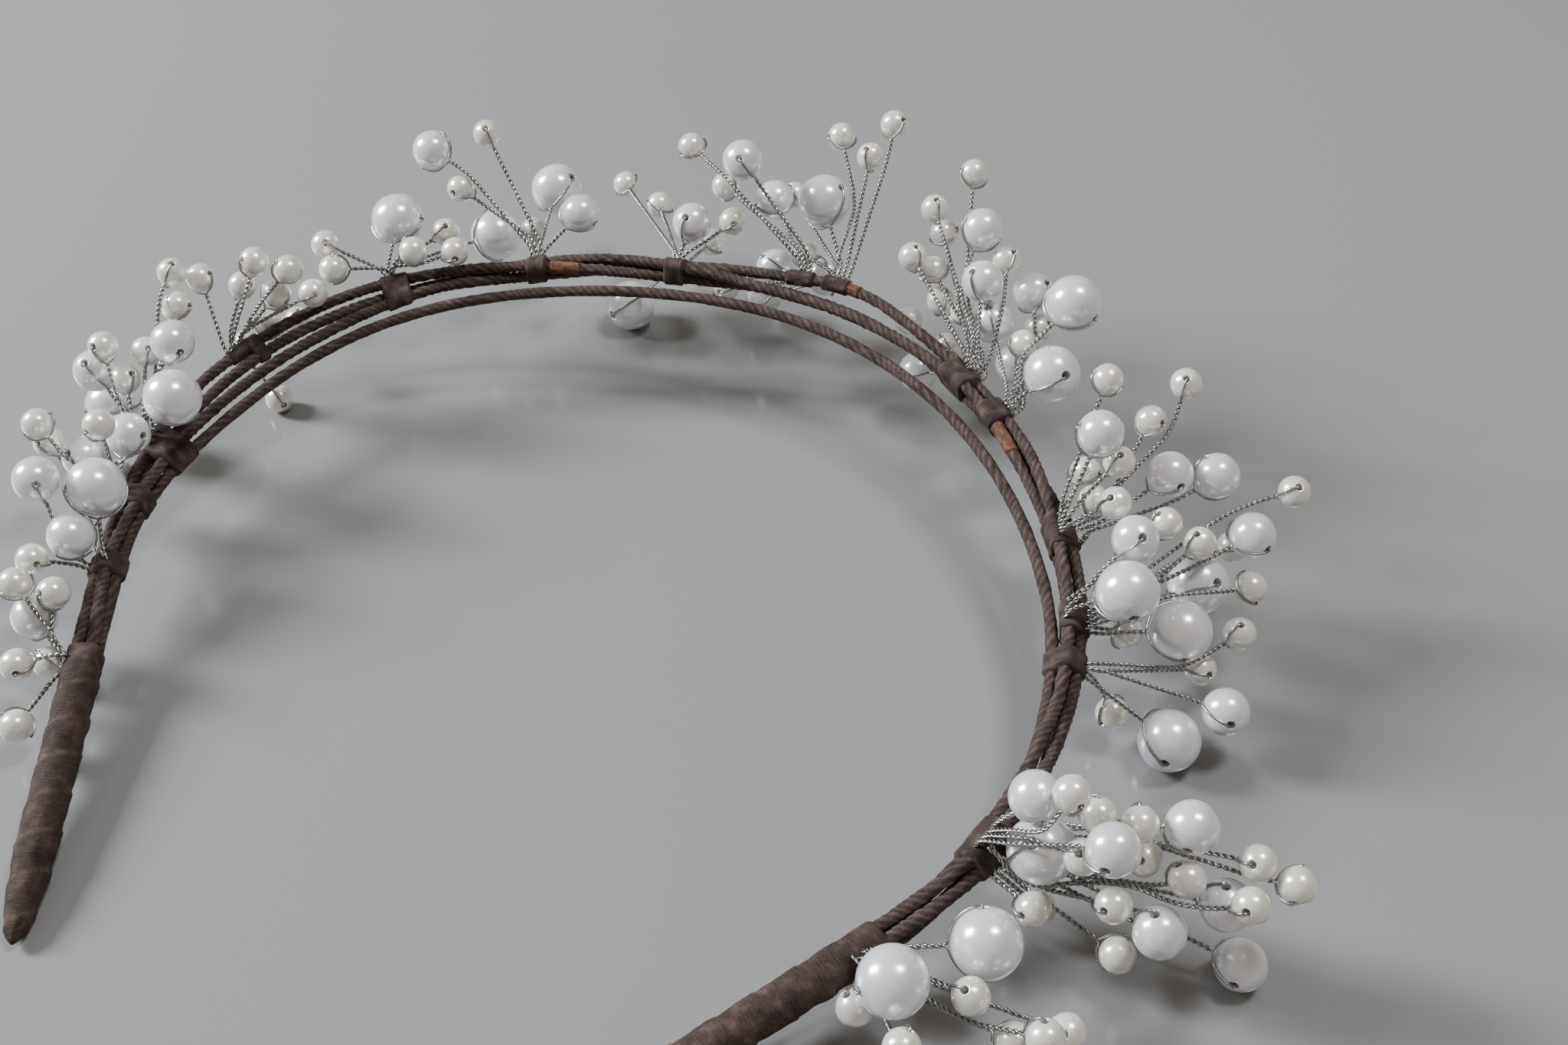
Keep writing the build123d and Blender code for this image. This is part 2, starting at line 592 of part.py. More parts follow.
# ---- pearls -------------------------------------------------------------------------------
for (size, region), places in threaded.items():
    with BuildPart() as pearl:
        Sphere(PEARL_D[size] / 2)
        Cylinder(BORE_D[size] / 2, PEARL_D[size] * 2, mode=Mode.SUBTRACT)
        rims = pearl.edges().filter_by(GeomType.CIRCLE).filter_by(
            lambda edge: abs(edge.radius - BORE_D[size] / 2) < 0.01)
        fillet(rims, BORE_RIM)
    with BuildPart() as pearl_group:
        add([pearl.part.moved(place) for place in places])
    pearl_group.part.label = f"pearls_{size}_{region}"
    export_step(pearl_group.part, f"parts/pearls_{size}_{region}.step")
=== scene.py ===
"""Bridal tiara: brown paper-taped wires twisted into a band, with sprays of imitation pearls on
twisted silver wire, lying on a pale glossy table."""

import math

import bpy
import numpy as np
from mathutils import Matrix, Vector, noise


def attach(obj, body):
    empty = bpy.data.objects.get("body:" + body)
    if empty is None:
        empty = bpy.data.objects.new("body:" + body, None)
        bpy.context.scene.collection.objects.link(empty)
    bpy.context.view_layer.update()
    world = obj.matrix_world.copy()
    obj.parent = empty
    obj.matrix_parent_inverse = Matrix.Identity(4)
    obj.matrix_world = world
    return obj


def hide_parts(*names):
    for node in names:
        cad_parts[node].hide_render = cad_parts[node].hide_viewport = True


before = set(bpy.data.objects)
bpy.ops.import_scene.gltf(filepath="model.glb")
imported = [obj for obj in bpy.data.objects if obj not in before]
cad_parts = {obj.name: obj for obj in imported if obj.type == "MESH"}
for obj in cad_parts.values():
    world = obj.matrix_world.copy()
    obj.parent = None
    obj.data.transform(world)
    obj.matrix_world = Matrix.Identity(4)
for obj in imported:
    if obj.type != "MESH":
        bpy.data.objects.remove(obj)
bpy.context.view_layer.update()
MM = 0.001

# ---- sizes --------------------------------------------------------------------------------
# a paper-taped strand; TWIST and RIDGE have one value for each of the four
STRAND_R = 0.77 * MM
STRAND_MOST = 0.84 * MM                # no crease stands further out than this
STRAND_SIDES = 24
TWIST = (5.2, 4.6, 5.0, 4.4)           # mm of strand to one turn of its twisted paper
RIDGE = (0.04, 0.13, 0.12, 0.14)       # mm that a crease stands up
RIDGES = 4                             # creases side by side in one turn
# a reddish lap
LAP_R = 0.87 * MM
LAP_SIDES = 20
# the tape wound over an end of the band
END_TAPE_PITCH = 5.0 * MM
END_TAPE_LAP = 0.2 * MM
END_TAPE_SINK = 0.17 * MM              # its middle lies this far inside the CAD's skin
END_SIDES = 28
# the brown tape over a spray's binding
BINDING_SIDES = 32
BINDING_COVER = 0.06                   # mm that it stands proud of the wire
# craft wire
WIRE_R = 0.15 * MM
WIRE_SIDES = 5
WIRE_LAY = 1.5 * MM                    # one turn of two wires twisted together
LOOP_STEPS = 8                         # points of a loop from a twig to a pearl's bore
# the CAD's thread round a pearl, as distances outside the pearl
THREAD_MIDDLE = 0.18 * MM
THREAD_BAND = 0.17 * MM
THREAD_CLEAR = 0.4 * MM
THREAD_CORNERS = 500                   # a pearl's own twig has more vertices than this there

FULL_TURN = 2 * math.pi


# ---- reading pieces out of the frame ------------------------------------------------------
def welded(name):
    """A CAD node's vertices and triangles, with its loose triangles joined up."""
    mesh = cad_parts[name].data
    places = np.zeros(len(mesh.vertices) * 3)
    mesh.vertices.foreach_get("co", places)
    mesh.calc_loop_triangles()
    corners = np.zeros(len(mesh.loop_triangles) * 3, int)
    mesh.loop_triangles.foreach_get("vertices", corners)
    microns = np.round(places.reshape(-1, 3) * 1e6).astype(int)
    _, first, joined = np.unique(microns, axis=0, return_index=True, return_inverse=True)
    return places.reshape(-1, 3)[first], joined.ravel()[corners].reshape(-1, 3)


def separate_solids(name):
    """Each separate solid of a CAD node, as its own vertices and triangles."""
    points, triangles = welded(name)
    label = np.arange(len(points))
    while True:
        before = label.copy()
        lowest = label[triangles].min(1)
        for corner in range(3):
            np.minimum.at(label, triangles[:, corner], lowest)
        label = label[label]
        if (label == before).all():
            break
    solids = []
    for one in np.unique(label):
        members = np.nonzero(label == one)[0]
        renumber = np.zeros(len(points), int)
        renumber[members] = np.arange(len(members))
        solids.append((points[members], renumber[triangles[label[triangles[:, 0]] == one]]))
    return solids


def cut_points(points, triangles, side):
    """Where the edges of some triangles pass from one side of a cut to the other."""
    found = []
    for a, b in ((0, 1), (1, 2), (2, 0)):
        p, q = triangles[:, a], triangles[:, b]
        crosses = (side[p] <= 0) != (side[q] <= 0)
        p, q = p[crosses], q[crosses]
        share = side[p] / (side[p] - side[q])
        found.append(points[p] + (points[q] - points[p]) * share[:, None])
    return np.concatenate(found)


def middle_line(points, triangles, start, heading, step, reach):
    """Follows a bent rod from one end by slicing it, and returns the middle of each slice."""
    most_slices, least_points = 1200, 4
    line, place = [start], start
    for _ in range(most_slices):
        guess = place + heading * step
        side = (points - guess) @ heading
        near = np.linalg.norm(points - guess, axis=1) < reach * 12
        cut = triangles[(side[triangles].min(1) <= 0) & (side[triangles].max(1) > 0)
                        & near[triangles].any(1)]
        met = cut_points(points, cut, side)
        met = met[np.linalg.norm(met - guess, axis=1) < reach]
        if len(met) < least_points:
            break
        found = met.mean(0)
        heading = (found - place) / np.linalg.norm(found - place)
        place = found
        line.append(place)
    return np.array(line)


def evened(line, spacing):
    """The same line, smoothed and with its points evenly spaced, and their distances along it."""
    smoothings = 3
    for _ in range(smoothings):
        line = np.concatenate([line[:1], (line[:-2] + 2 * line[1:-1] + line[2:]) / 4, line[-1:]])
    run = np.concatenate([[0], np.cumsum(np.linalg.norm(np.diff(line, axis=0), axis=1))])
    count = max(3, int(round(run[-1] / spacing)) + 1)
    at = np.linspace(0, run[-1], count)
    return np.stack([np.interp(at, run, line[:, axis]) for axis in range(3)], 1), at


def frames_along(line):
    """Two directions square to a line at each of its points, carried along without twist."""
    ahead = np.gradient(line, axis=0)
    ahead /= np.linalg.norm(ahead, axis=1)[:, None]
    first = np.cross(ahead[0], (0, 0, 1) if abs(ahead[0][2]) < 0.9 else (1, 0, 0))
    across = [first / np.linalg.norm(first)]
    for direction in ahead[1:]:
        turned = across[-1] - direction * (across[-1] @ direction)
        across.append(turned / np.linalg.norm(turned))
    across = np.array(across)
    return across, np.cross(ahead, across)


def wrinkle(run, share, fineness, width, shift=(0, 0, 0)):
    """Noise on a tube, at a distance in mm along it and a share of a turn round it.

    fineness and width say how fast it changes along the tube and round it."""
    angle = FULL_TURN * share
    return noise.noise(Vector((run * fineness + shift[0], width * math.cos(angle) + shift[1],
                               width * math.sin(angle) + shift[2])))


# ---- building meshes ----------------------------------------------------------------------
class Skin:
    """Vertices and faces of one finished piece, gathered tube by tube."""

    def __init__(self):
        self.points, self.faces, self.uvs, self.worn = [], [], [], []
        self.count = 0

    def tube(self, line, radius, sides, along=None, worn=None):
        """A tube round a line. radius is a number, or one for each point and side."""
        across, up = frames_along(line)
        rows = len(line)
        angles = np.arange(sides) * 2 * math.pi / sides
        radius = np.broadcast_to(radius, (rows, sides))
        rings = line[:, None] + radius[..., None] * (
            across[:, None] * np.cos(angles)[None, :, None]
            + up[:, None] * np.sin(angles)[None, :, None])
        if along is None:
            along = np.arange(rows) * MM
        if worn is None:
            worn = np.zeros((rows, sides))
        self.shell(rings, along, worn)

    def shell(self, rings, along, worn):
        """A closed skin over a row of rings. The last argument says where the paper is rubbed, and
        where it gets a painted highlight on its ridges and painted shade in its creases.
        """
        rows, sides = rings.shape[:2]
        self.points.append(rings.reshape(-1, 3))
        self.worn.append(worn.ravel())
        base = self.count
        for row in range(rows - 1):
            for side in range(sides):
                after = (side + 1) % sides
                a, b = base + row * sides + side, base + row * sides + after
                self.faces.append((a, b, b + sides, a + sides))
                u0, u1 = side / sides, (side + 1) / sides
                v0, v1 = along[row] / MM, along[row + 1] / MM
                self.uvs.append(((u0, v0), (u1, v0), (u1, v1), (u0, v1)))
        for row, flip in ((0, True), (rows - 1, False)):
            ring = [base + row * sides + side for side in range(sides)]
            self.faces.append(tuple(ring[::-1] if flip else ring))
            self.uvs.append(tuple((0.5, along[row] / MM) for _ in ring))
        self.count += rows * sides

    def finish(self, name, material, slot, *stands_for):
        """Makes the piece, which shows in place of the CAD nodes that it stands for."""
        mesh = bpy.data.meshes.new(name)
        mesh.from_pydata(np.concatenate(self.points).tolist(), [], self.faces)
        layer = mesh.uv_layers.new(name="along")
        layer.data.foreach_set("uv", np.array([uv for face in self.uvs for uv in face]).ravel())
        # a per-vertex mask of rubbing plus painted highlight on ridges and painted shade in creases
        worn = mesh.attributes.new("worn", "FLOAT", "POINT")
        worn.data.foreach_set("value", np.concatenate(self.worn))
        mesh.shade_smooth()
        mesh.validate()
        piece = bpy.data.objects.new(name, mesh)
        bpy.context.scene.collection.objects.link(piece)
        mesh.materials.append(material)
        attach(piece, "root")
        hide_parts(*stands_for)


# ---- shader maths -------------------------------------------------------------------------
class Link:
    """A socket that can be used in Python sums."""

    def __init__(self, tree, socket):
        self.tree, self.socket = tree, socket

    def node(self, kind, settings=None, out=0, **inputs):
        """A new node. An input is given by its name, or as _0, _1 by its number."""
        made = self.tree.nodes.new(kind)
        for key, value in (settings or {}).items():
            if key == "stops":
                ramp = made.color_ramp
                while len(ramp.elements) < len(value):
                    ramp.elements.new(0.5)
                for element, (place, colour) in zip(ramp.elements, value):
                    element.position, element.color = place, (*colour, 1)
            else:
                setattr(made, key, value)
        for key, value in inputs.items():
            socket = made.inputs[int(key[1:]) if key[0] == "_" else key.replace("_", " ")]
            if isinstance(value, Link):
                self.tree.links.new(value.socket, socket)
            else:
                socket.default_value = value
        return Link(self.tree, made.outputs[out])

    def sum(self, operation, other, flipped=False):
        """A Math node on this socket and another, or a number."""
        a, b = (other, self) if flipped else (self, other)
        return self.node("ShaderNodeMath", {"operation": operation}, _0=a, _1=b)

    def __add__(self, other):
        return self.sum("ADD", other)

    def __radd__(self, other):
        return self.sum("ADD", other, True)

    def __sub__(self, other):
        return self.sum("SUBTRACT", other)

    def __rsub__(self, other):
        return self.sum("SUBTRACT", other, True)

    def __mul__(self, other):
        return self.sum("MULTIPLY", other)

    def __rmul__(self, other):
        return self.sum("MULTIPLY", other, True)


def finish_named(name, **looks):
    """A new material, its shader, and the start of its shader maths."""
    material = bpy.data.materials.new(name)
    material.use_nodes = True
    tree = material.node_tree
    shader = tree.nodes["Principled BSDF"]
    for key, value in looks.items():
        shader.inputs[key.replace("_", " ")].default_value = value
    return material, shader, Link(tree, None)


def paper_tape(name, dark, light, crepe=1.0):
    """Crepe-paper tape, with fine wrinkles across it and paler edges: partly rubbing, partly a
    painted highlight on the raised laps and painted shade in the creases.
    """
    material, shader, start = finish_named(name, Roughness=0.8, Specular_IOR_Level=0.3)
    uv = start.node("ShaderNodeUVMap", {"uv_map": "along"})
    place = start.node("ShaderNodeTexCoord", out=3)
    worn = start.node("ShaderNodeAttribute", {"attribute_name": "worn"}, out=2)
    wide = start.node("ShaderNodeMapping", Vector=uv, Scale=(5.0, 3.2, 1.0))
    wrinkles = start.node("ShaderNodeTexNoise", Vector=wide, Scale=1.6, Detail=5.0, Roughness=0.62)
    fine = start.node("ShaderNodeMapping", Vector=uv, Scale=(26.0, 1.1, 1.0))
    fibres = start.node("ShaderNodeTexNoise", Vector=fine, Scale=2.2, Detail=4.0, Roughness=0.6)
    patches = start.node("ShaderNodeTexNoise", Vector=place, Scale=420.0, Detail=4.0)
    # random tone mixed with the ridge mask: raised laps painted paler as a painted highlight,
    # creases painted darker as painted shade, along with rubbing
    tone_and_ridge_shading = worn * 0.75 + (wrinkles - 0.5) * 0.9 + (fibres - 0.5) * 0.55 + (patches - 0.5) * 0.8
    between = tuple(d * 0.65 + l * 0.35 for d, l in zip(dark, light))
    stops = [(0.0, dark), (0.42, between), (1.0, light)]
    colour = start.node("ShaderNodeValToRGB", {"stops": stops}, Fac=tone_and_ridge_shading + 0.22)
    start.tree.links.new(colour.socket, shader.inputs["Base Color"])
    height = wrinkles * 0.7 + fibres * 0.45
    bump = start.node("ShaderNodeBump", Height=height, Strength=0.75 * crepe, Distance=0.00022)
    start.tree.links.new(bump.socket, shader.inputs["Normal"])
    rough = 0.95 - wrinkles * 0.3
    start.tree.links.new(rough.socket, shader.inputs["Roughness"])
    return material


def drawn_wire(name, tone, tarnish):
    """Bright craft wire, dulled a little in patches."""
    material, shader, start = finish_named(name, Metallic=1.0, Roughness=0.25)
    place = start.node("ShaderNodeTexCoord", out=3)
    patches = start.node("ShaderNodeTexNoise", Vector=place, Scale=260.0, Detail=3.0)
    scuffs = start.node("ShaderNodeTexNoise", Vector=place, Scale=2600.0, Detail=2.0)
    colour = start.node("ShaderNodeValToRGB", {"stops": [(0.35, tone), (0.72, tarnish)]},
                        Fac=patches)
    start.tree.links.new(colour.socket, shader.inputs["Base Color"])
    rough = scuffs * 0.22 + patches * 0.16 + 0.08
    start.tree.links.new(rough.socket, shader.inputs["Roughness"])
    return material


def pearl_lacquer(name, base, tint, roughness):
    """Pearl lacquer over a moulded bead: a soft glow under a clear, glossy coat."""
    material, shader, start = finish_named(
        name, Roughness=roughness, Coat_Weight=1.0, Coat_Roughness=0.1, Coat_IOR=1.6,
        Sheen_Weight=0.3, Sheen_Roughness=0.35, Specular_IOR_Level=0.7,
        Subsurface_Weight=0.12, Subsurface_Radius=(0.004, 0.0035, 0.003), Subsurface_Scale=0.3)
    shader.inputs["Sheen Tint"].default_value = (*tint, 1)
    place = start.node("ShaderNodeTexCoord", out=3)
    clouds = start.node("ShaderNodeTexNoise", Vector=place, Scale=300.0, Detail=3.0)
    swirl = start.node("ShaderNodeTexNoise", Vector=place, Scale=900.0, Detail=4.0, Distortion=1.5)
    colour = start.node("ShaderNodeValToRGB", {"stops": [(0.3, base), (0.7, tint)]},
                        Fac=clouds * 0.7 + swirl * 0.3)
    start.tree.links.new(colour.socket, shader.inputs["Base Color"])
    lustre = swirl * 0.3 + 0.2
    start.tree.links.new(lustre.socket, shader.inputs["Metallic"])
    bump = start.node("ShaderNodeBump", Height=swirl, Strength=0.08, Distance=0.00006)
    start.tree.links.new(bump.socket, shader.inputs["Normal"])
    return material


def table_lacquer():
    """The pale grey table, glossy enough to mirror the tiara faintly."""
    material, shader, start = finish_named("table_lacquer", Roughness=0.16, Specular_IOR_Level=0.4)
    place = start.node("ShaderNodeTexCoord", out=3)
    cloud = start.node("ShaderNodeTexNoise", Vector=place, Scale=3.0, Detail=2.0)
    stops = [(0.3, (0.235, 0.24, 0.245)), (0.7, (0.26, 0.26, 0.26))]
    colour = start.node("ShaderNodeValToRGB", {"stops": stops}, Fac=cloud)
    start.tree.links.new(colour.socket, shader.inputs["Base Color"])
    return material


# each tape's dark colour is painted shade for its creases and its light colour is partly a painted
# highlight for its ridges, partly rubbed paper
BROWN = paper_tape("brown_tape", (0.016, 0.010, 0.009), (0.135, 0.090, 0.080))
BROWN_ENDS = paper_tape("brown_end_tape", (0.018, 0.011, 0.009), (0.14, 0.09, 0.075), 1.3)
REDDISH = paper_tape("reddish_tape", (0.045, 0.019, 0.012), (0.25, 0.115, 0.072))
SILVER = drawn_wire("silver_wire", (0.46, 0.46, 0.45), (0.26, 0.255, 0.24))
STEEL = drawn_wire("core_steel", (0.5, 0.5, 0.5), (0.3, 0.3, 0.3))
IVORY = pearl_lacquer("ivory_pearl", (0.87, 0.84, 0.76), (0.93, 0.92, 0.87), 0.26)
WHITE = pearl_lacquer("white_pearl", (0.86, 0.86, 0.91), (0.93, 0.93, 0.97), 0.24)


# ---- strands ------------------------------------------------------------------------------
def taped_strand(number):
    """One wire with narrow tape wound on in a spiral, creased by the twisting."""
    name = f"strand_{number}_wrap"
    points, triangles = welded(name)
    # its left end, by way of the lowest point there, and the way it sets off
    left = points[:, 0] < 0
    tip = points[left][points[left][:, 1].argmin()]
    near_end = points[np.linalg.norm(points - tip, axis=1) < 1.7 * MM].mean(0)
    end = points[np.linalg.norm(points - near_end, axis=1) < 1.0 * MM].mean(0)
    first_stretch = (np.linalg.norm(points - end, axis=1) < 60 * MM) & left
    heading = points[first_stretch].mean(0) - end
    heading /= np.linalg.norm(heading)
    line = middle_line(points, triangles, end, heading, 0.8 * MM, 1.1 * MM)
    line, along = evened(line, 0.3 * MM)
    shares = np.arange(STRAND_SIDES) / STRAND_SIDES
    pitch, ridge = TWIST[number - 1] * MM, RIDGE[number - 1] * MM
    wander = np.array([noise.noise(Vector((a / MM * 0.14, 7.0 * number, 0))) for a in along])
    turn = RIDGES * ((along / pitch + 0.5 * wander)[:, None] - shares[None])
    lap = turn - np.floor(turn)
    edge = np.exp(-((lap - 0.5) / 0.24) ** 2)
    creases = np.array([[wrinkle(a / MM, u, 0.9, 1.4, (40 * number, 0, 0))
                         + 0.6 * wrinkle(a / MM, u, 2.6, 4, (9 * number, 0, 0))
                         for u in shares] for a in along])
    lumps = np.array([noise.noise(Vector((a / MM * 0.22, 3.0 * number, 5.0))) for a in along])
    standing = np.clip(0.75 + creases, 0.2, 1.3)
    radius = (STRAND_R + ridge * (edge * standing - 0.5) + creases * 0.04 * MM
              + lumps[:, None] * 0.07 * MM)
    radius = np.minimum(radius, STRAND_MOST)
    # paler on the raised lap edges and crease tops and darker in the hollows: painted highlight and
    # painted shade, with some rubbing
    worn = np.clip(edge * 0.75 - 0.12 + creases * 0.45, 0, 1)
    skin = Skin()
    skin.tube(line, radius, STRAND_SIDES, along, worn)
    skin.finish(f"strand_{number}_tape", BROWN, "paper_wrap", name)
    return line, along


def reddish_laps(strands):
    """The ends of a redder length of tape, lapped right round a strand."""
    skin = Skin()
    for points, _ in separate_solids("tape_ends"):
        centre = points.mean(0)
        reach = np.linalg.norm(points - centre, axis=1).max()
        gaps = [np.linalg.norm(line - centre, axis=1).min() for line, _ in strands]
        line, along = strands[int(np.argmin(gaps))]
        run = np.linalg.norm(line - centre, axis=1) < reach
        # the same noise raises the tape and pales it: a painted highlight on its tops and painted
        # shade in its hollows, along with rubbing
        worn = np.array([[wrinkle(a / MM, side / LAP_SIDES, 1.3, 2)
                          for side in range(LAP_SIDES)] for a in along[run]])
        radius = LAP_R + worn * 0.04 * MM
        skin.tube(line[run], radius, LAP_SIDES, along[run], np.clip(0.35 + worn, 0, 1))
    skin.finish("tape_ends_paper", REDDISH, "tape_end", "tape_ends")


def end_wrap(side):
    """The band's end, bound over with tape in an uneven spiral to a blunt tip."""
    name = f"end_wrap_{side}"
    points, _ = welded(name)
    centre = points.mean(0)
    axis = np.linalg.svd(points - centre, full_matrices=False)[2][0]
    axis = axis * (-1 if axis[1] > 0 else 1)
    reach = (points - centre) @ axis
    off = np.linalg.norm((points - centre) - reach[:, None] * axis, axis=1)
    start, stop = reach.min(), reach.max()
    at = np.concatenate([[start + 0.02 * MM], np.arange(start + 0.25 * MM, stop, 0.35 * MM),
                         [stop - 0.12 * MM, stop - 0.02 * MM]])
    # how far out the CAD's skin is, looked for more closely where it rounds off to the tip
    stations = np.linspace(start, stop, 19)
    windows = np.where(stations < stop - 3 * MM, 2.2 * MM, 0.9 * MM)
    outer = [off[np.abs(reach - s) < window].max() for s, window in zip(stations, windows)]
    outer = np.interp(at, stations, outer)
    shares = np.arange(END_SIDES) / END_SIDES
    along = at - start
    turn = along[:, None] / END_TAPE_PITCH - shares[None]
    lap = turn - np.floor(turn)
    edge = np.exp(-((lap - 0.03) / 0.05) ** 2) + np.exp(-((lap - 0.98) / 0.05) ** 2)
    creases = np.array([[wrinkle(a / MM, u, 0.55, 2.2, (0, 7, 0))
                         + 0.5 * wrinkle(a / MM, u, 1.7, 5, (5, 0, 0))
                         for u in shares] for a in along])
    radius = (outer[:, None] - END_TAPE_SINK + END_TAPE_LAP * (0.5 - lap) * 0.9
              + creases * 0.13 * MM)
    # the tape draws in to the blunt tip, and a little where it starts on the strands
    tip = np.clip((stop - at) / (1.6 * MM), 0, 1) ** 0.5
    radius = radius * np.clip(tip, 0.12, 1)[:, None]
    mouth = np.clip((at - start) / (0.5 * MM), 0, 1) ** 0.5
    radius = radius * (0.72 + 0.28 * mouth)[:, None]
    # lap edges and raised creases painted paler, hollows darker: painted highlight and painted
    # shade, with some rubbing
    worn = np.clip(edge * 0.3 + creases * 0.7, 0, 1)
    skin = Skin()
    skin.tube(centre + at[:, None] * axis, radius, END_SIDES, along, worn)
    skin.finish(f"end_wrap_{side}_tape", BROWN_ENDS, "end_wrap", name)


# ---- pearls and wire ----------------------------------------------------------------------
class Pearl:
    """Where a pearl is, how big, and which way its bore runs."""

    def __init__(self, points):
        low, high = points.min(0), points.max(0)
        self.centre = (low + high) / 2
        off = points - self.centre
        far = np.linalg.norm(off, axis=1)
        self.radius = np.median(far)
        # what lies inside the round of the pearl belongs to its bore
        hollow = off[far < self.radius * 0.996]
        self.bore = np.linalg.svd(hollow, full_matrices=False)[2][0]


def all_pearls():
    """Every pearl of the tiara."""
    names = [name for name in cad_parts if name.startswith("pearls_")]
    return [Pearl(points) for name in names for points, _ in separate_solids(name)]


def twisted_twig(skin, points, triangles, pearl):
    """Two wires twisted together, that part to go round a pearl and into its bore."""
    # it is followed from clear of the thread that goes round the pearl, down to the binding
    side = np.linalg.norm(points - pearl.centre, axis=1) - pearl.radius - THREAD_CLEAR
    start = cut_points(points, triangles, side).mean(0)
    back = (start - pearl.centre) / np.linalg.norm(start - pearl.centre)
    line = middle_line(points, triangles, start, back, 0.5 * MM, 0.55 * MM)
    foot_way = line[-1] - line[-3]
    foot_way /= np.linalg.norm(foot_way)
    line = np.concatenate([line, [line[-1] + foot_way * 0.5 * MM]])[::-1]
    line, along = evened(line, 0.2 * MM)
    across, up = frames_along(line)
    sideways = pearl.bore - back * (pearl.bore @ back)
    sideways /= np.linalg.norm(sideways)
    # the last turn ends with the two wires one on each side of the pearl
    end_turn = math.atan2(sideways @ up[-1], sideways @ across[-1])
    phase = (along - along[-1]) / WIRE_LAY * 2 * math.pi + end_turn
    for half_turn, sign in ((0, 1), (math.pi, -1)):
        turn = phase + half_turn
        helix = line + WIRE_R * 1.02 * (across * np.cos(turn)[:, None] + up * np.sin(turn)[:, None])
        mouth = pearl.bore * sign
        full = math.acos(np.clip(back @ mouth, -1, 1))
        loop = []
        for share in np.linspace(0.12, 1.0, LOOP_STEPS):
            way = back * math.sin((1 - share) * full) + mouth * math.sin(share * full)
            lift = pearl.radius + WIRE_R * (1.1 + 0.9 * (1 - share) ** 2)
            loop.append(pearl.centre + way / math.sin(full) * lift)
        inside = [pearl.centre + mouth * (pearl.radius * share) for share in (0.86, 0.5)]
        skin.tube(np.concatenate([helix, loop, inside]), WIRE_R, WIRE_SIDES)


def taped_binding(name, rings):
    """Brown tape over the turns of wire that hold one spray, drawn in against the strands."""
    middles = np.array([(points.min(0) + points.max(0)) / 2 for points, _ in rings])
    axis = np.linalg.svd(middles - middles.mean(0), full_matrices=False)[2][0]
    order = np.argsort(middles @ axis)
    side = np.cross(axis, (0, 0, 1))
    side /= np.linalg.norm(side)
    top = np.cross(axis, side)
    loops = []
    for number in order:
        points, triangles = rings[number]
        middle, loop = middles[number], []
        for angle in np.arange(BINDING_SIDES) * 2 * math.pi / BINDING_SIDES:
            way = side * math.cos(angle) + top * math.sin(angle)
            square = top * math.cos(angle) - side * math.sin(angle)
            met = cut_points(points, triangles, (points - middle) @ square)
            loop.append(met[(met - middle) @ way > 0].mean(0))
        loops.append(loop)
    loops = np.array(loops)
    at = np.linspace(0, len(loops) - 1, 2 * len(loops) + 3)
    turn = np.minimum(at.astype(int), len(loops) - 2)
    share = (at - turn)[:, None, None]
    rows = loops[turn] * (1 - share) + loops[turn + 1] * share
    # each row of the tape: the row of turns that it lies over, and how far in mm it is beyond it
    # and drawn in. Two more rows at each end bring the tape in to the paper.
    last = len(rows) - 1
    plan = [(0, -0.3, 0.25), (0, -0.12, 0.0)]
    plan += [(number, 0, -BINDING_COVER) for number in range(len(rows))]
    plan += [(last, 0.12, 0.0), (last, 0.3, 0.25)]
    shaped = np.array([rows[row] + axis * beyond * MM for row, beyond, _ in plan])
    drawn_in = np.array([inwards for _, _, inwards in plan])
    centres = shaped.mean(1)
    out = shaped - centres[:, None]
    out /= np.linalg.norm(out, axis=2)[..., None]
    along = (centres - centres[0]) @ axis
    shift = middles.mean(0) / MM * 0.2
    creases = np.array([[wrinkle(a / MM, step / BINDING_SIDES, 0.8, 1.6, shift)
                         for step in range(BINDING_SIDES)] for a in along])
    shaped += out * (creases * 0.12 - drawn_in[:, None])[..., None] * MM
    skin = Skin()
    # the creases that stand out are also paler: a painted highlight on them and painted shade
    # between, along with rubbing
    skin.shell(shaped, along, np.clip(0.15 + creases * 0.9, 0, 1))
    skin.finish(name.replace("_wire", "_binding_tape"), BROWN, "paper_wrap", name)


def spray(name, pearls):
    """One spray's twigs, with their loops round its pearls, and the tape over its binding."""
    solids = separate_solids(name)
    carried = []
    for pearl in pearls:
        close = []
        for points, _ in solids:
            outside = np.linalg.norm(points - pearl.centre, axis=1) - pearl.radius
            close.append(np.count_nonzero(np.abs(outside - THREAD_MIDDLE) < THREAD_BAND))
        best = int(np.argmax(close))
        if close[best] > THREAD_CORNERS:
            carried.append((best, pearl))
    twigs = {number for number, _ in carried}
    rings = [solid for number, solid in enumerate(solids) if number not in twigs]
    skin = Skin()
    for number, pearl in carried:
        twisted_twig(skin, *solids[number], pearl)
    skin.finish(name.replace("_wire", "_silver_wire"), SILVER, "craft_wire", name)
    taped_binding(name, rings)


def lay_out_tiara():
    """Dresses the whole tiara: new pieces for tape and wire, new looks for pearls and cores."""
    reddish_laps([taped_strand(number) for number in (1, 2, 3, 4)])
    for side in ("left", "right"):
        end_wrap(side)
    pearls = all_pearls()
    for name in sorted(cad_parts):
        if name.startswith("spray_"):
            spray(name, pearls)
    for name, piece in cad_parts.items():
        if name.startswith("pearls_"):
            finish = IVORY if "small" in name else WHITE
        elif name.endswith("_core"):
            finish = STEEL
        else:
            continue
        for slot in piece.material_slots:
            slot.material = finish


# ---- table, light and camera --------------------------------------------------------------
TABLE_SIZE = 3.0


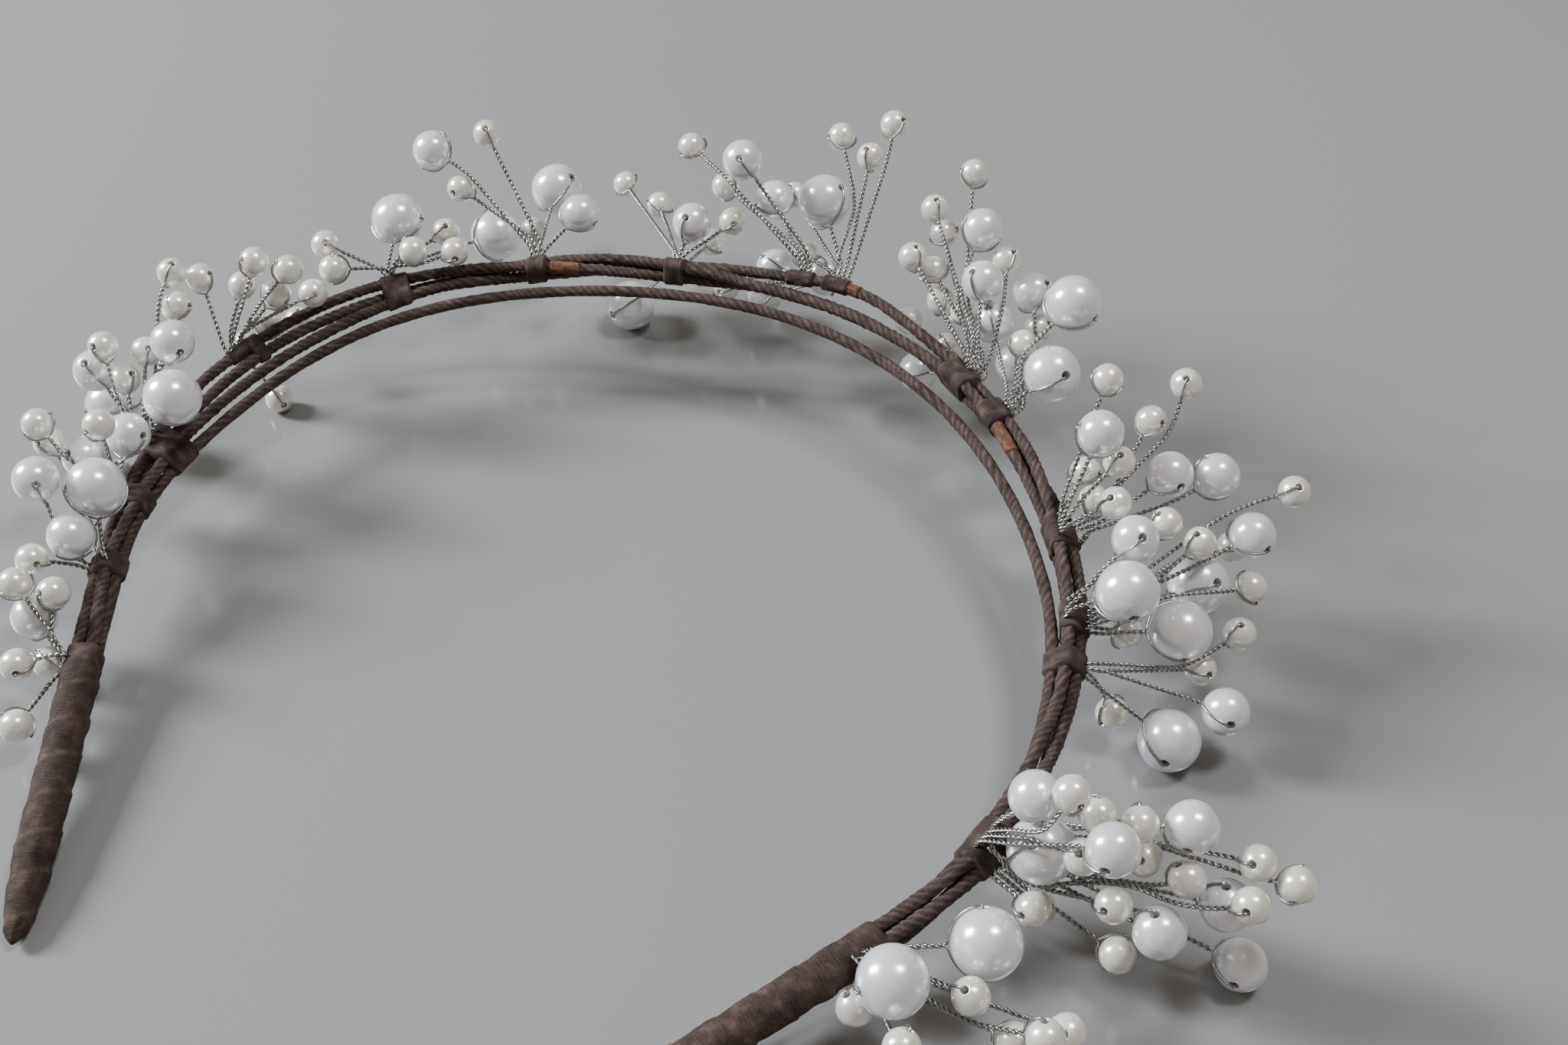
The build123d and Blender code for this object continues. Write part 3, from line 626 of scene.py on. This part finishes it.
def lay_table():
    bpy.ops.object.select_all(action="DESELECT")
    bpy.ops.mesh.primitive_plane_add(size=TABLE_SIZE, location=(0, 0, 0))
    table = bpy.context.object
    table.name = "table"
    table.data.materials.append(table_lacquer())


LOOK_AT = Vector((16, 30, 0)) * MM
CAMERA_TURN, CAMERA_RISE = math.radians(23), math.radians(44)
CAMERA_FAR = 240 * MM
SENSOR_WIDTH, LENS = 36, 40.4          # mm, as Blender takes them
RIGHT = Vector((math.cos(CAMERA_TURN), math.sin(CAMERA_TURN), 0))
AHEAD = Vector((-math.sin(CAMERA_TURN), math.cos(CAMERA_TURN), 0))


def set_camera():
    sight = AHEAD * math.cos(CAMERA_RISE) - Vector((0, 0, 1)) * math.sin(CAMERA_RISE)
    camera = bpy.data.objects.new("camera", bpy.data.cameras.new("camera"))
    camera.data.sensor_width = SENSOR_WIDTH
    camera.data.lens = LENS
    camera.data.clip_start = 0.01
    camera.location = LOOK_AT - sight * CAMERA_FAR
    camera.rotation_euler = sight.to_track_quat("-Z", "Y").to_euler()
    bpy.context.scene.collection.objects.link(camera)
    bpy.context.scene.camera = camera


def area_light(name, right, ahead, height, size, power, tone):
    """A soft window, placed from the camera's point of view, that faces the tiara."""
    light = bpy.data.objects.new(name, bpy.data.lights.new(name, "AREA"))
    light.data.shape = "RECTANGLE"
    light.data.size, light.data.size_y = size
    light.data.energy = power
    light.data.color = tone
    light.location = LOOK_AT + RIGHT * right + AHEAD * ahead + Vector((0, 0, height))
    light.rotation_euler = (LOOK_AT - light.location).to_track_quat("-Z", "Y").to_euler()
    bpy.context.scene.collection.objects.link(light)


def light_room():
    """Two soft windows and the warm fill of a pale room."""
    area_light("window_left", -0.8, 0.2, 0.52, (0.22, 0.36), 19.0, (0.92, 0.965, 1.0))
    area_light("window_right", 0.34, 0.06, 0.95, (0.18, 0.26), 6.0, (0.95, 0.98, 1.0))
    world = bpy.data.worlds.new("room")
    world.use_nodes = True
    world.node_tree.nodes["Background"].inputs["Color"].default_value = (0.93, 0.81, 0.69, 1)
    world.node_tree.nodes["Background"].inputs["Strength"].default_value = 0.34
    bpy.context.scene.world = world


lay_out_tiara()
lay_table()
set_camera()
light_room()
